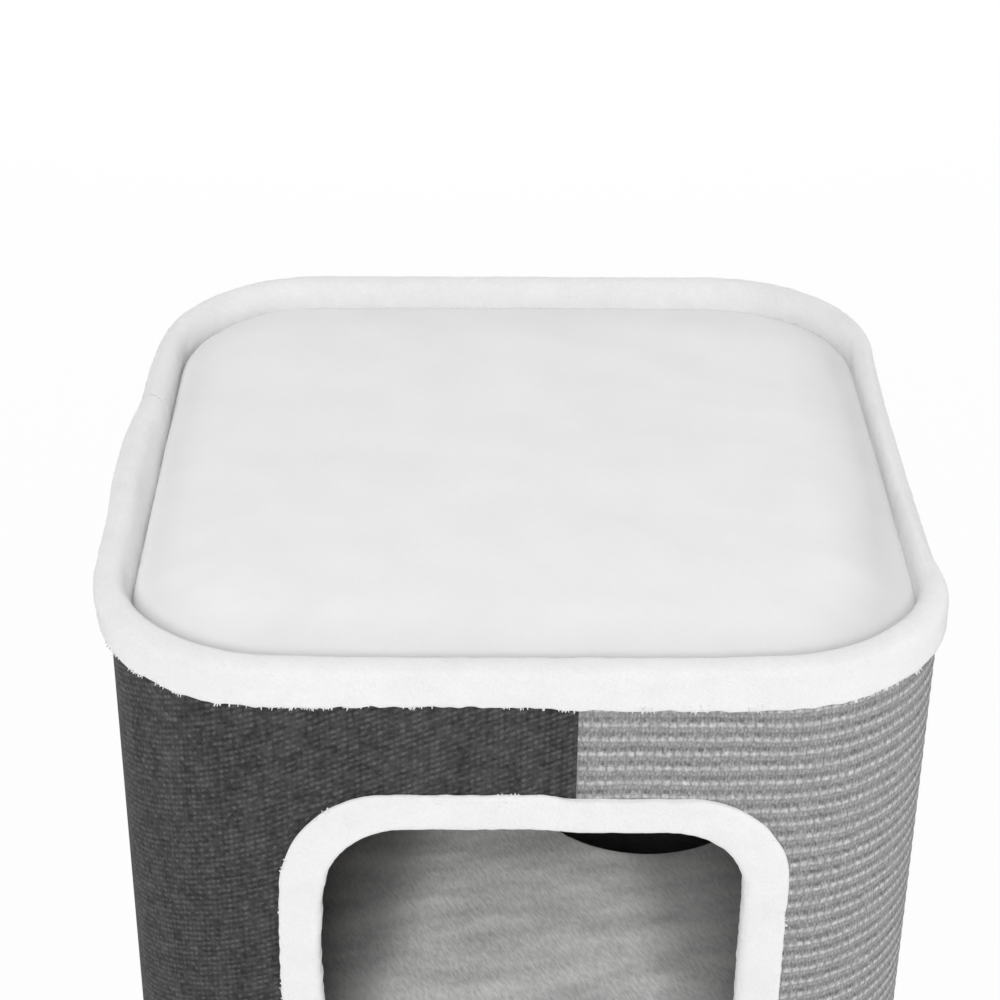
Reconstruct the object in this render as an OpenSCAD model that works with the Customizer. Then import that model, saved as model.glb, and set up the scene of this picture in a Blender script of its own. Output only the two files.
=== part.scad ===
// Two-storey cat condo: a soft-sided tower on a rounded square plan.
// The origin is the centre of its foot on the floor, +Z is up, and the entries face -Y.

/* [Body] */
// Width and depth over the outer fabric
body_w = 400; // [380:5:480]
// Height from the floor to the top of the rim
body_h = 570; // [560:5:680]
// Outer radius of the four upright corners
corner_r = 85; // [70:1:90]
// Depth of the tray that the cushion lies in
tray_depth = 38; // [37:1:60]

/* [Wall] */
// Thickness of the outer fabric
cover_t = 1.5; // [1:0.5:3]
// Thickness of the stiff wall panels
core_t = 4; // [3.5:0.5:6]
// Thickness of the plush lining
lining_t = 2; // [1.5:0.5:5]
// Gap between the two wall panels on each side
fold_gap = 6; // [2:1:12]
// Sideways place of the seam between the two outer fabrics
seam_x = 23; // [-40:1:60]
// Thickness of the bottom fabric
bottom_t = 2; // [1:0.5:3]
// Height of the tape round the bottom edge
hem_h = 16; // [10:1:24]
// Thickness of the tape round the bottom edge
hem_t = 1.2; // [0.8:0.1:2]

/* [Bindings] */
// Thickness of the plush bindings over each face of the wall
binding_t = 3.5; // [3:0.5:6]
// Radius of the rolled edges of the bindings
roll_r = 3; // [2:0.5:3]
// Height of the padded rim
rim_h = 26; // [22:1:34]
// How far the rim binding laps down over the wall
rim_lap = 10; // [6:1:14]
// Distance of the rim's two joints from the middle of the sides, one to the back and one to the front
rim_joint = 48; // [0:1:60]
// Width of the binding round each entry
entry_binding_w = 20; // [14:1:22]

/* [Entries] */
// Width of the wall beside each entry, from the clear edge to the side of the body
jamb_w = 100; // [97:0.5:125]
// Height of the wall above each entry, from the clear edge to the ceiling of its storey
lintel_h = 44; // [42:1:80]
// Radius of the clear corners
entry_r = 30; // [12:1:50]
// Sideways place of the entries
entry_x = 5; // [-5:0.5:5]
// Height of the sill above the floor of its storey
sill_h = 24; // [22:1:40]

/* [Floors] */
// Thickness of the three boards
board_t = 12; // [9:1:15]
// Thickness of the pile on the two floors
pile_t = 5; // [3:0.5:8]
// Thickness of the fabric wrapped round a board's edge
wrap_t = 2; // [1:0.5:3]
// Width of the fabric turned under a board
wrap_w = 35; // [20:1:45]
// Clear radius of the passage in the upper floor
hole_r = 72; // [50:1:74]
// Distance of the middle of the passage from the right side of the body
hole_from_side = 121; // [110:1:150]
// Distance of the middle of the passage from the back of the body
hole_from_back = 103; // [103:1:130]
// Room left round the deck so that it lifts past the soft rim
deck_clear = 6; // [2:0.5:8]
// Thickness of the pile turned down through the passage
collar_t = 3; // [2:0.5:5]
// Width of the pile turned under round the passage
collar_w = 12; // [8:1:16]

/* [Ledges] */
// How far the ledges stand in from the lining
ledge_w = 22; // [18:1:24]
// Height of the ledges
ledge_h = 15; // [12:1:15]
// Chamfer along the lower edge of the ledges
ledge_chamfer = 4; // [1:0.5:6]
// Distance of the ledges from the start of the wall's corners
ledge_end = 15; // [5:1:30]
// Distance of the side ledges from the side fold
side_ledge_start = 20; // [10:1:30]

/* [Screws] */
// Diameter of the ledge screws
screw_d = 3.5; // [3:0.1:4]
// Diameter of their countersunk heads
screw_head_d = 7; // [6:0.1:8]
// Height of their countersunk heads
screw_head_h = 2.2; // [1.8:0.1:3]
// How deep the screws reach into a ledge
screw_grip = 15; // [8:1:16]
// Distance of the screws from the ends of a ledge
screw_inset = 16; // [10:1:25]

/* [Cushion] */
// Height of the cushion at its edge
cushion_h = 28; // [22:1:28]
// Rise of the crown above the edge
cushion_crown = 7; // [2:0.5:8]
// How far the sides are drawn in at the two seams
draw_in = 7; // [3:0.5:10]
// Thickness of the cushion's cover
cushion_cover_t = 1.5; // [1:0.1:2]
// Gap between the cushion and the rim binding
cushion_gap = 2; // [1:0.5:5]

/* [Hidden] */
$fn = 96;

// Clearances: between sewn layers, under a loose board, past the rim binding, and round a screw
layer_gap = 0.1;
seat_gap = 0.2;
board_clear = 1;
screw_gap = 0.1;
// How far every cut runs past the face that it opens
overrun = 1;

// All the wall's layers turn round the same four upright axes, at run from the middle
run = body_w / 2 - corner_r;
core_r = corner_r - cover_t;
lining_r = core_r - core_t;
room_r = lining_r - lining_t;
rim_in_r = room_r - layer_gap - binding_t;
floor_r = rim_in_r - board_clear;
deck_r = rim_in_r - deck_clear;
cushion_r = rim_in_r - cushion_gap;
wall_t = corner_r - room_r;
wall_top = body_h - rim_h + rim_lap;
wall_h = wall_top - bottom_t;
rim_foam_h = body_h - binding_t - wall_top;

// Heights, from the floor up; both storeys have the same clear height
base_z = bottom_t + seat_gap;
pile_floor_h = wrap_t + board_t + pile_t;
deck_h = wrap_t + board_t + wrap_t;
base_top = base_z + pile_floor_h;
deck_top = body_h - tray_depth;
deck_z = deck_top - deck_h;
storey_h = (deck_z - base_top - pile_floor_h) / 2;
floor_z = base_top + storey_h;
floor_top = floor_z + pile_floor_h;
cushion_z = deck_top + seat_gap;

// Entries and the passage, placed from the body that they open
entry_w = body_w - 2 * jamb_w;
entry_h = storey_h - sill_h - lintel_h;
lower_entry_z = base_top + sill_h;
upper_entry_z = floor_top + sill_h;
hole_x = body_w / 2 - hole_from_side;
hole_y = body_w / 2 - hole_from_back;

// Ledges: the angle of the wall that carries one, its middle along that wall, and its length
front_angle = 0;
right_angle = 90;
back_angle = 180;
left_angle = 270;
ledge_len = 2 * (run - ledge_end);
side_ledge_len = run - ledge_end - side_ledge_start;
side_mid = side_ledge_start + side_ledge_len / 2;
ON_FRONT = [front_angle, 0, ledge_len];
ON_BACK = [back_angle, 0, ledge_len];
ON_RIGHT_FRONT = [right_angle, -side_mid, side_ledge_len];
ON_RIGHT_BACK = [right_angle, side_mid, side_ledge_len];
ON_LEFT_FRONT = [left_angle, side_mid, side_ledge_len];
ON_LEFT_BACK = [left_angle, -side_mid, side_ledge_len];
LEDGES = [ON_FRONT, ON_BACK, ON_RIGHT_FRONT, ON_RIGHT_BACK, ON_LEFT_FRONT, ON_LEFT_BACK];
floor_ledge_top = floor_z - seat_gap;
deck_ledge_top = deck_z - seat_gap;

// Steps of the rolled edges, and of the cushion's corners, sides and crown
roll_steps = 4;
corner_steps = 8;
side_steps = 6;
crown_steps = 5;

fabric_dark = "#4b4b4d";
fabric_woven = "#9d9c99";
fabric_lining = "#8d8d8e";
plush_white = "#f1f1ef";
plush_grey = "#a0a0a0";
cushion_grey = "#e3e3e2";
panel_grey = "#c9c6be";
board_brown = "#b99b72";
batten_wood = "#d3b183";
steel = "#c3c6c9";
tape_black = "#2f2f30";
foam_yellow = "#efe7c8";

function arc(cx, cy, r, from, to) = [
    for (i = [0:roll_steps])
        let (a = from + (to - from) * i / roll_steps)
            [cx + r * cos(a), cy + r * sin(a)]
];

// Outline of a binding in section: [distance from the covered edge, distance out of the wall's face]
function channel(leg) =
    let (out = layer_gap + binding_t, back = -wall_t - layer_gap - binding_t)
        concat(
            [[binding_t, layer_gap], [leg, layer_gap]],
            arc(leg - roll_r, out - roll_r, roll_r, 0, 90),
            arc(roll_r, out - roll_r, roll_r, 90, 180),
            arc(roll_r, back + roll_r, roll_r, 180, 270),
            arc(leg - roll_r, back + roll_r, roll_r, 270, 360),
            [[leg, -wall_t - layer_gap], [binding_t, -wall_t - layer_gap]]
        );

// Plate with rounded corners, from z = 0 up
module rounded_plate(run_x, run_y, r, t) {
    translate([-run_x - r, -run_y, 0])
        cube([2 * (run_x + r), 2 * run_y, t]);
    for (side = [0, 1]) {
        mirror([0, side, 0])
            translate([-run_x, run_y, 0])
                cube([2 * run_x, r, t]);
    }
    for (side = [0, 1], end = [0, 1]) {
        mirror([side, 0, 0])
            mirror([0, end, 0])
                translate([run_x, run_y, 0])
                    rotate_extrude(angle = 90)
                        square([r, t]);
    }
}

// Section swept right round a rounded rectangle; its x is the distance from the corner's axis
module loop_sweep(run_x, run_y) {
    for (side = [0, 1]) {
        mirror([side, 0, 0])
            translate([run_x, run_y, 0])
                rotate([90, 0, 0])
                    linear_extrude(2 * run_y)
                        children();
        mirror([0, side, 0])
            rotate(90)
                translate([run_y, run_x, 0])
                    rotate([90, 0, 0])
                        linear_extrude(2 * run_x)
                            children();
    }
    for (side = [0, 1], end = [0, 1]) {
        mirror([side, 0, 0])
            mirror([0, end, 0])
                translate([run_x, run_y, 0])
                    rotate_extrude(angle = 90)
                        children();
    }
}

// Section swept along the front and both front corners, back as far as y = -end.
// A shift takes the right end that much further to the front and the left end to the back.
module half_sweep(end, shift = 0) {
    rotate(-90)
        translate([run, run, 0])
            rotate([90, 0, 0])
                linear_extrude(2 * run)
                    children();
    for (side = [0, 1]) {
        side_end = side == 0 ? end + shift : end - shift;
        mirror([side, 0, 0]) {
            translate([run, -side_end, 0])
                rotate([90, 0, 0])
                    linear_extrude(run - side_end)
                        children();
            translate([run, -run, 0])
                rotate(-90)
                    rotate_extrude(angle = 90)
                        children();
        }
    }
}

// Upright layer of the wall in section
module layer(inner_r, outer_r) {
    translate([inner_r, bottom_t])
        square([outer_r - inner_r, wall_h]);
}

// The hole that an entry makes in the wall's layers, filled by the web of its binding
module entry_cut(z) {
    depth = wall_t + 2 * overrun;
    cut_r = entry_r + binding_t + layer_gap;
    translate([entry_x, -run - room_r + overrun, z + entry_h / 2])
        rotate([90, 0, 0])
            rounded_plate(entry_w / 2 - entry_r, entry_h / 2 - entry_r, cut_r, depth);
}

module entry_cuts() {
    entry_cut(lower_entry_z);
    entry_cut(upper_entry_z);
}

// Curved parts of the front lining, which the wide bindings lie against
module lining_corners(gap) {
    for (side = [0, 1]) {
        mirror([side, 0, 0])
            translate([run, -run, 0])
                rotate(-90)
                    rotate_extrude(angle = 90)
                        layer(room_r - gap, lining_r);
    }
}

module entry_binding(z) {
    color(plush_white)
        difference() {
            translate([entry_x, -body_w / 2, z + entry_h / 2])
                rotate([90, 0, 0])
                    loop_sweep(entry_w / 2 - entry_r, entry_h / 2 - entry_r)
                        translate([entry_r, 0])
                            polygon(channel(entry_binding_w));
            difference() {
                lining_corners(layer_gap);
                entry_cut(z);
            }
        }
}

module rim_strip() {
    color(plush_white)
        half_sweep(layer_gap, rim_joint)
            polygon([for (p = channel(rim_h)) [corner_r + p[1], body_h - p[0]]]);
}

// Places of the two screws of a ledge; +Z of each child points into the room
module at_screws(place, top) {
    for (side = [-1, 1]) {
        rotate(place[0])
            translate([
                place[1] + side * (place[2] / 2 - screw_inset),
                -run - core_r,
                top - ledge_h / 2
            ])
                rotate([-90, 0, 0])
                    children();
    }
}

// Countersunk screw, flush with the wall panel; gap is the room left round it where it is a hole
module screw(gap) {
    reach = core_t + lining_t + screw_grip;
    cylinder(d1 = screw_head_d + 2 * gap, d2 = screw_d + 2 * gap, h = screw_head_h);
    cylinder(d = screw_d + 2 * gap, h = reach + gap);
}

module screw_hole() {
    screw(screw_gap);
    translate([0, 0, -overrun])
        cylinder(d = screw_head_d + 2 * screw_gap, h = overrun);
}

module all_screw_holes() {
    for (place = LEDGES, top = [floor_ledge_top, deck_ledge_top]) {
        at_screws(place, top)
            screw_hole();
    }
}

module ledge_screws(top) {
    color(steel)
        for (place = LEDGES) {
            at_screws(place, top)
                screw(0);
        }
}

module ledge(place, top) {
    low = ledge_h - ledge_chamfer;
    color(batten_wood)
        difference() {
            rotate(place[0])
                translate([place[1] - place[2] / 2, -run - room_r, top])
                    rotate([90, 0, 90])
                        linear_extrude(place[2])
                            polygon([
                                [0, 0], [ledge_w, 0], [ledge_w, -low],
                                [ledge_w - ledge_chamfer, -ledge_h], [0, -ledge_h]
                            ]);
            at_screws(place, top)
                screw_hole();
        }
}

module core_half() {
    half_sweep(fold_gap / 2)
        layer(lining_r, core_r);
}

module lining_half() {
    half_sweep(layer_gap)
        layer(room_r, lining_r - layer_gap);
}

module front_core() {
    color(panel_grey)
        difference() {
            core_half();
            entry_cuts();
            all_screw_holes();
        }
}

module back_core() {
    color(panel_grey)
        difference() {
            mirror([0, 1, 0])
                core_half();
            all_screw_holes();
        }
}

module front_lining() {
    color(fabric_lining)
        difference() {
            lining_half();
            entry_cuts();
            all_screw_holes();
        }
}

module back_lining() {
    color(fabric_lining)
        difference() {
            mirror([0, 1, 0])
                lining_half();
            all_screw_holes();
        }
}

module dark_cover() {
    color(fabric_dark)
        difference() {
            rotate(-90)
                half_sweep(layer_gap - seam_x)
                    layer(core_r + layer_gap, corner_r);
            entry_cuts();
        }
}

module woven_cover() {
    color(fabric_woven)
        difference() {
            rotate(90)
                half_sweep(layer_gap + seam_x)
                    layer(core_r + layer_gap, corner_r);
            entry_cuts();
        }
}

// Foam between the wall's top edge and the top of the rim binding
module rim_foam_strip() {
    color(foam_yellow)
        half_sweep(layer_gap, rim_joint)
            translate([room_r, wall_top])
                square([wall_t, rim_foam_h]);
}

module front_rim_foam() {
    rim_foam_strip();
}

module back_rim_foam() {
    rotate(back_angle)
        rim_foam_strip();
}

module front_rim_binding() {
    rim_strip();
}

module back_rim_binding() {
    rotate(back_angle)
        rim_strip();
}

module bottom_panel() {
    color(tape_black)
        rounded_plate(run, run, corner_r, bottom_t);
}

module hem_tape() {
    color(tape_black)
        loop_sweep(run, run)
            translate([corner_r + layer_gap, 0])
                square([hem_t, hem_h]);
}

// Board inside its fabric; edge_r is the corner radius over the fabric
module board(z, edge_r) {
    translate([0, 0, z + wrap_t])
        rounded_plate(run, run, edge_r - wrap_t - layer_gap, board_t);
}

// Fabric over a board: the top, the edge, and a margin turned under
module wrap(z, edge_r, top_t) {
    difference() {
        translate([0, 0, z])
            rounded_plate(run, run, edge_r, wrap_t + board_t + top_t);
        translate([0, 0, z + wrap_t])
            rounded_plate(run, run, edge_r - wrap_t, board_t);
        translate([0, 0, z - overrun])
            rounded_plate(run, run, edge_r - wrap_w, wrap_t + 2 * overrun);
    }
}

module passage(r, from, to) {
    translate([hole_x, hole_y, from])
        cylinder(r = r, h = to - from);
}

module base_board() {
    color(board_brown)
        board(base_z, floor_r);
}

module base_cover() {
    color(plush_grey)
        wrap(base_z, floor_r, pile_t);
}

module floor_board() {
    color(board_brown)
        difference() {
            board(floor_z, floor_r);
            passage(hole_r + collar_t + layer_gap, floor_z, floor_top);
        }
}

module floor_cover() {
    color(plush_grey)
        difference() {
            union() {
                wrap(floor_z, floor_r, pile_t);
                passage(hole_r + collar_t, floor_z, floor_top);
                passage(hole_r + collar_w, floor_z, floor_z + wrap_t);
            }
            passage(hole_r, floor_z - overrun, floor_top + overrun);
        }
}

module deck_board() {
    color(board_brown)
        board(deck_z, deck_r);
}

module deck_cover() {
    color(fabric_lining)
        wrap(deck_z, deck_r, wrap_t);
}

// Outline of the cushion at its widest, round the four corners
function cushion_outline(r) = [
    for (q = [0:3], i = [0:corner_steps])
        let (
            a = 90 * (q + i / corner_steps),
            cx = (q == 0 || q == 3) ? run : -run,
            cy = (q < 2) ? run : -run
        )
            [cx + r * cos(a), cy + r * sin(a)]
];

// Rings of the cushion from its lower seam up: [share of the width, height]
function cushion_rings(half, h, crown, pull) =
    let (seam_share = 1 - pull / half)
        concat(
            [
                for (i = [0:side_steps])
                    let (a = 180 * i / side_steps - 90)
                        [1 - pull / half * (1 - cos(a)), h / 2 * (1 + sin(a))]
            ],
            [
                for (i = [1:crown_steps - 1])
                    let (u = 1 - i / crown_steps)
                        [seam_share * u, h + crown * (1 - pow(u, 2))]
            ]
        );

// Padded form: flat below, sides swelling between two drawn-in seams, and a crown on top
module cushion_form(r, h, crown, pull) {
    outline = cushion_outline(r);
    rings = cushion_rings(run + r, h, crown, pull);
    n = len(outline);
    m = len(rings);
    points = concat(
        [for (ring = rings, p = outline) [p[0] * ring[0], p[1] * ring[0], ring[1]]],
        [[0, 0, 0], [0, 0, h + crown]]
    );
    bottom = n * m;
    top = bottom + 1;
    faces = concat(
        [for (i = [0:n - 1]) [bottom, i, (i + 1) % n]],
        [for (k = [0:m - 2], i = [0:n - 1]) [k * n + i, (k + 1) * n + i, (k + 1) * n + (i + 1) % n]],
        [for (k = [0:m - 2], i = [0:n - 1]) [k * n + i, (k + 1) * n + (i + 1) % n, k * n + (i + 1) % n]],
        [for (i = [0:n - 1]) [top, (m - 1) * n + (i + 1) % n, (m - 1) * n + i]]
    );
    polyhedron(points, faces);
}

module cushion_core(gap) {
    inset = cushion_cover_t - gap;
    translate([0, 0, cushion_z + inset])
        cushion_form(cushion_r - inset, cushion_h - 2 * inset, cushion_crown, draw_in);
}

module cushion_foam() {
    color(foam_yellow)
        cushion_core(0);
}

module cushion_cover() {
    color(cushion_grey)
        difference() {
            translate([0, 0, cushion_z])
                cushion_form(cushion_r, cushion_h, cushion_crown, draw_in);
            cushion_core(layer_gap);
        }
}

bottom_panel();
hem_tape();
front_core();
back_core();
dark_cover();
woven_cover();
front_lining();
back_lining();
front_rim_binding();
back_rim_binding();
front_rim_foam();
back_rim_foam();
entry_binding(upper_entry_z);  // upper_entry_binding
entry_binding(lower_entry_z);  // lower_entry_binding
ledge(ON_FRONT, floor_ledge_top);  // floor_ledge_front
ledge(ON_BACK, floor_ledge_top);  // floor_ledge_back
ledge(ON_LEFT_FRONT, floor_ledge_top);  // floor_ledge_left_front
ledge(ON_LEFT_BACK, floor_ledge_top);  // floor_ledge_left_back
ledge(ON_RIGHT_FRONT, floor_ledge_top);  // floor_ledge_right_front
ledge(ON_RIGHT_BACK, floor_ledge_top);  // floor_ledge_right_back
ledge_screws(floor_ledge_top);  // floor_ledge_screws
ledge(ON_FRONT, deck_ledge_top);  // deck_ledge_front
ledge(ON_BACK, deck_ledge_top);  // deck_ledge_back
ledge(ON_LEFT_FRONT, deck_ledge_top);  // deck_ledge_left_front
ledge(ON_LEFT_BACK, deck_ledge_top);  // deck_ledge_left_back
ledge(ON_RIGHT_FRONT, deck_ledge_top);  // deck_ledge_right_front
ledge(ON_RIGHT_BACK, deck_ledge_top);  // deck_ledge_right_back
ledge_screws(deck_ledge_top);  // deck_ledge_screws
base_board();
base_cover();
floor_board();
floor_cover();
deck_board();
deck_cover();
cushion_foam();
cushion_cover();
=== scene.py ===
"""Cat condo in its outer fabrics, plush bindings and pile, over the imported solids."""
from functools import partialmethod
from math import atan2, copysign, cos, hypot, pi, radians, sin, sqrt

import bmesh
import bpy
import numpy as np
from mathutils import Matrix, Vector, noise


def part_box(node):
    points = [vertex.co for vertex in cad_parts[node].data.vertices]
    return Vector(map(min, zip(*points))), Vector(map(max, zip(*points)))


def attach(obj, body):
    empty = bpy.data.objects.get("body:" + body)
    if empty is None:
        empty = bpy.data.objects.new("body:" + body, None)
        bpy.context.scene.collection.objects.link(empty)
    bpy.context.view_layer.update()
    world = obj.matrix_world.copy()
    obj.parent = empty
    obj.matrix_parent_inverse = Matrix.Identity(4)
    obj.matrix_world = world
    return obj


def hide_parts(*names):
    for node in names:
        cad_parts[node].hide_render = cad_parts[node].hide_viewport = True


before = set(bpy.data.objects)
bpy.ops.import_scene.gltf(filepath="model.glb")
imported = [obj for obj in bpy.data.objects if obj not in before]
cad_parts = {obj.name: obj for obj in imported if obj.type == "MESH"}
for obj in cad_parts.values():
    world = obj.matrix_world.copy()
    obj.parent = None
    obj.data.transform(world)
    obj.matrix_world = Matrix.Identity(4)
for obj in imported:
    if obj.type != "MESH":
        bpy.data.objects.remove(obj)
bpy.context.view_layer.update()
SCENE = bpy.context.scene

MM = 0.001
UP = Vector((0, 0, 1))

# Plan of the wall: a rounded square, walked along its outer fabric to the right from the front's middle
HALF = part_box("bottom_panel")[1].x
CORNER_R = 85 * MM
RUN = HALF - CORNER_R
CORNER_ARC = CORNER_R * pi / 2
QUARTER = 2 * RUN + CORNER_ARC
PERIMETER = 4 * QUARTER


def rounded_walk(run_x, run_y, radius, walk):
    """Point of a rounded rectangle and the way it faces, walk metres right of its lower side's middle."""
    arc = radius * pi / 2
    half_turns, along = divmod(walk + run_x, 2 * (run_x + arc + run_y))
    corner = Vector((run_x, -run_y))
    if along < 2 * run_x:
        point, facing = Vector((along - run_x, -run_y - radius)), Vector((0, -1))
    elif along > 2 * run_x + arc and along < 2 * run_x + arc + 2 * run_y:
        point, facing = Vector((run_x + radius, along - 2 * run_x - arc - run_y)), Vector((1, 0))
    else:
        turn = (along - 2 * run_x) / radius
        if turn > pi / 2:
            corner.y = run_y
            turn -= 2 * run_y / radius
        facing = Vector((sin(turn), -cos(turn)))
        point = corner + radius * facing
    return (-point, -facing) if half_turns % 2 else (point, facing)


def wall_at(walk):
    """Point of the outer fabric in plan and the way it faces, walk metres right of the front's middle."""
    point, facing = rounded_walk(RUN, RUN, CORNER_R, walk)
    return point.to_3d(), facing.to_3d()


def right_walk(y):
    """How far along the wall the right side is at y in mm."""
    return 2 * RUN + CORNER_ARC + y * MM


def left_walk(y):
    """How far along the wall the left side is at y in mm, reached to the left from the front's middle."""
    return -right_walk(y)


def steady(value, low, high):
    """0 below low, 1 above high, smooth between."""
    share = min(max((value - low) / (high - low), 0), 1)
    return share * share * (3 - 2 * share)


def ripple(place, size, seed=0):
    """Soft noise between about -1 and 1, with lumps of the given size in metres."""
    return noise.noise(Vector(place) / size + Vector((seed * 7.3, seed * 3.1, seed)))


def table_value(table, place):
    """Value between the (place, value) rows of a table."""
    places, values = zip(*table)
    return float(np.interp(place, places, values))


# Node helpers
class Wire:
    """One output of a node; reckoning with it adds math nodes to its tree."""

    def __init__(self, tree, socket):
        self.tree = tree
        self.socket = socket

    def __getitem__(self, name):
        """Another output of the same node."""
        return Wire(self.tree, self.socket.node.outputs[name])

    def to(self, socket):
        self.tree.links.new(self.socket, socket)

    def op(self, operation, other=0.0):
        return add(self.tree, "Math", {0: self, 1: other}, operation=operation)

    __add__ = partialmethod(op, "ADD")
    __sub__ = partialmethod(op, "SUBTRACT")
    __mul__ = partialmethod(op, "MULTIPLY")
    __truediv__ = partialmethod(op, "DIVIDE")
    __pow__ = partialmethod(op, "POWER")

    def __rtruediv__(self, other):
        return add(self.tree, "Math", {0: other, 1: self}, operation="DIVIDE")


def add(tree, kind, inputs=None, output=0, **settings):
    """One output of a new node with its settings, each input linked to a wire or set to a value."""
    node = tree.nodes.new("ShaderNode" + kind)
    for name, value in settings.items():
        setattr(node, name, value)
    for name, value in (inputs or {}).items():
        if isinstance(value, Wire):
            value.to(node.inputs[name])
        else:
            node.inputs[name].default_value = value
    return Wire(tree, node.outputs[output])


def vector_op(first, operation, second):
    return add(first.tree, "VectorMath", {0: first, 1: second}, operation=operation)


def lumps(where, scale, detail, output="Fac", **more):
    """Noise texture at a place."""
    inputs = {"Vector": where, "Scale": scale, "Detail": detail, **more}
    return add(where.tree, "TexNoise", inputs, output)


def drawn_out(place, stretch):
    """Place squeezed across x, so that what is laid on it gets long along x."""
    squeeze = add(place.tree, "CombineXYZ", {"X": 1.0, "Y": stretch, "Z": stretch})
    return vector_op(place, "MULTIPLY", squeeze)


def ranged(value, low, high, way="LINEAR"):
    """0 where a value is at low or less, 1 where it is at high or more."""
    limits = {"Value": value, "From Min": low, "From Max": high}
    return add(value.tree, "MapRange", limits, interpolation_type=way)


def blend_colours(share, low, high):
    return add(share.tree, "Mix", {0: share, 6: low, 7: high}, 2, data_type="RGBA")


def grey(level):
    """Linear colour of a grey display level from 0 to 255."""
    share = level / 255
    tone = share / 12.92 if share <= 0.04045 else ((share + 0.055) / 1.055) ** 2.4
    return (tone, tone, tone, 1)


def new_group(name, **inputs):
    """Shader node group with its float inputs and their defaults."""
    tree = bpy.data.node_groups.new(name, "ShaderNodeTree")
    for label, value in inputs.items():
        socket = tree.interface.new_socket(label, in_out="INPUT", socket_type="NodeSocketFloat")
        socket.default_value = value
    return tree, Wire(tree, tree.nodes.new("NodeGroupInput").outputs[0])


def end_group(tree, **results):
    """Gives a group its outputs."""
    for label in results:
        tree.interface.new_socket(label, in_out="OUTPUT", socket_type="NodeSocketFloat")
    end = tree.nodes.new("NodeGroupOutput")
    for label, wire in results.items():
        wire.to(end.inputs[label])
    return tree


def use_group(tree, group, **values):
    return add(tree, "Group", values, node_tree=group)


def make_pile_group():
    """Pile or plush on Object coordinates: fine tufts and broad brushed shading, each laid its own way."""
    tree, given = new_group("pile", Tuft=0.002, Brush=0.03, Lay=0.8, Sweep=0.8, Stretch=3.0)
    coords = add(tree, "TexCoord", output="Object")

    def strands(angle, size, roughness):
        turn = add(tree, "CombineXYZ", {"Z": angle})
        turned = add(tree, "VectorRotate", {"Vector": coords, "Rotation": turn},
                     rotation_type="EULER_XYZ")
        return lumps(drawn_out(turned, given["Stretch"]), 1 / size, 2.0, Roughness=roughness)

    return end_group(tree, Tufts=strands(given["Lay"], given["Tuft"], 0.6),
                     Brushed=strands(given["Sweep"], given["Brush"], 0.5))


STIR_SCALE = 420.0
WAVER_SCALE = 60.0


def make_weave_group():
    """Yarn floats on the UV map in metres: each row with a start, each float with a shade of its own."""
    tree, given = new_group("weave", Across=0.004, Up=0.004, Slant=0.0, Loose=0.0, Rise=0.0, Waver=0.3,
                            Stir=0.0, Shift=0.0)
    laid = add(tree, "TexCoord", output="UV")
    tangle = vector_op(lumps(laid, STIR_SCALE, 1.0, "Color"), "SUBTRACT", (0.5, 0.5, 0.5))
    pulled = vector_op(laid, "ADD", vector_op(tangle, "MULTIPLY", given["Stir"]))
    uv = add(tree, "SeparateXYZ", {0: pulled})
    wander = (lumps(laid, WAVER_SCALE, 2.0) - 0.5) * given["Waver"]
    rows = (uv["Y"] - uv["X"] * given["Rise"]) / given["Up"] + (wander + given["Shift"])
    row = rows.op("FLOOR")
    row_start = add(tree, "TexWhiteNoise", {"W": row}, "Value", noise_dimensions="1D")
    columns = uv["X"] / given["Across"] + (row * given["Slant"] + row_start * given["Loose"])
    cell = add(tree, "CombineXYZ", {"X": columns.op("FLOOR"), "Y": row})
    shade = add(tree, "TexWhiteNoise", {"Vector": cell}, "Value", noise_dimensions="2D")

    def swell(count):
        return (count.op("FRACT") * pi).op("SINE")

    return end_group(tree, Along=swell(columns), Over=swell(rows), Shade=shade)


MOTTLE_SCALE = 90.0


def make_grain_group():
    """Grain of softwood or fibreboard on Object coordinates."""
    tree, given = new_group("grain", Fibre=0.004, Stretch=8.0)
    coords = add(tree, "TexCoord", output="Object")
    grain = lumps(drawn_out(coords, given["Stretch"]), 1 / given["Fibre"], 4.0, Distortion=0.4)
    return end_group(tree, Grain=grain, Mottle=lumps(coords, MOTTLE_SCALE, 3.0))


PILE = make_pile_group()
WEAVE = make_weave_group()
GRAIN = make_grain_group()


# Materials
def new_material(name, roughness=0.9, cloth=True):
    """Dull material; the fibres of cloth scatter light the way rough ground does."""
    material = bpy.data.materials.new(name)
    material.use_nodes = True
    tree = material.node_tree
    shader = tree.nodes["Principled BSDF"]
    shader.inputs["Roughness"].default_value = roughness
    shader.inputs["Diffuse Roughness"].default_value = 0.6 if cloth else 0.0
    shader.inputs["Specular IOR Level"].default_value = 0.25
    return material, tree, shader


def finish_surface(shader, colour, height, depth):
    """Colour and a bump of the given depth in metres."""
    colour.to(shader.inputs["Base Color"])
    bump = add(colour.tree, "Bump", {"Height": height, "Distance": depth, "Strength": 1.0})
    bump.to(shader.inputs["Normal"])


# Mesh attribute turn: how much painted shade darkens a cloth near its edges, where the rim around it shades
# it
EDGE_SHADE_ATTRIBUTE = "turn"
BLACK = (0, 0, 0, 1)
PILE_CONTRAST = 0.3, 0.7

# Painted shade on floor pile: pale along the middle of a floor, painted darker towards the sides and further
# in, where less light comes in through the entry
PAINTED_SHADE_MIDDLE = 8 * MM
PAINTED_SHADE_FROM = 46 * MM
PAINTED_SHADE_TO = 86 * MM
PAINTED_SHADE_SPREAD = 0.12
PAINTED_SHADE_ENTRY = -130 * MM
PAINTED_SHADE_INSIDE = -30 * MM
PAINTED_SHADE_DEEP = 0.14
PAINTED_SHADE_DARK = (0.1, 0.1, 0.1, 1)


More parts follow.
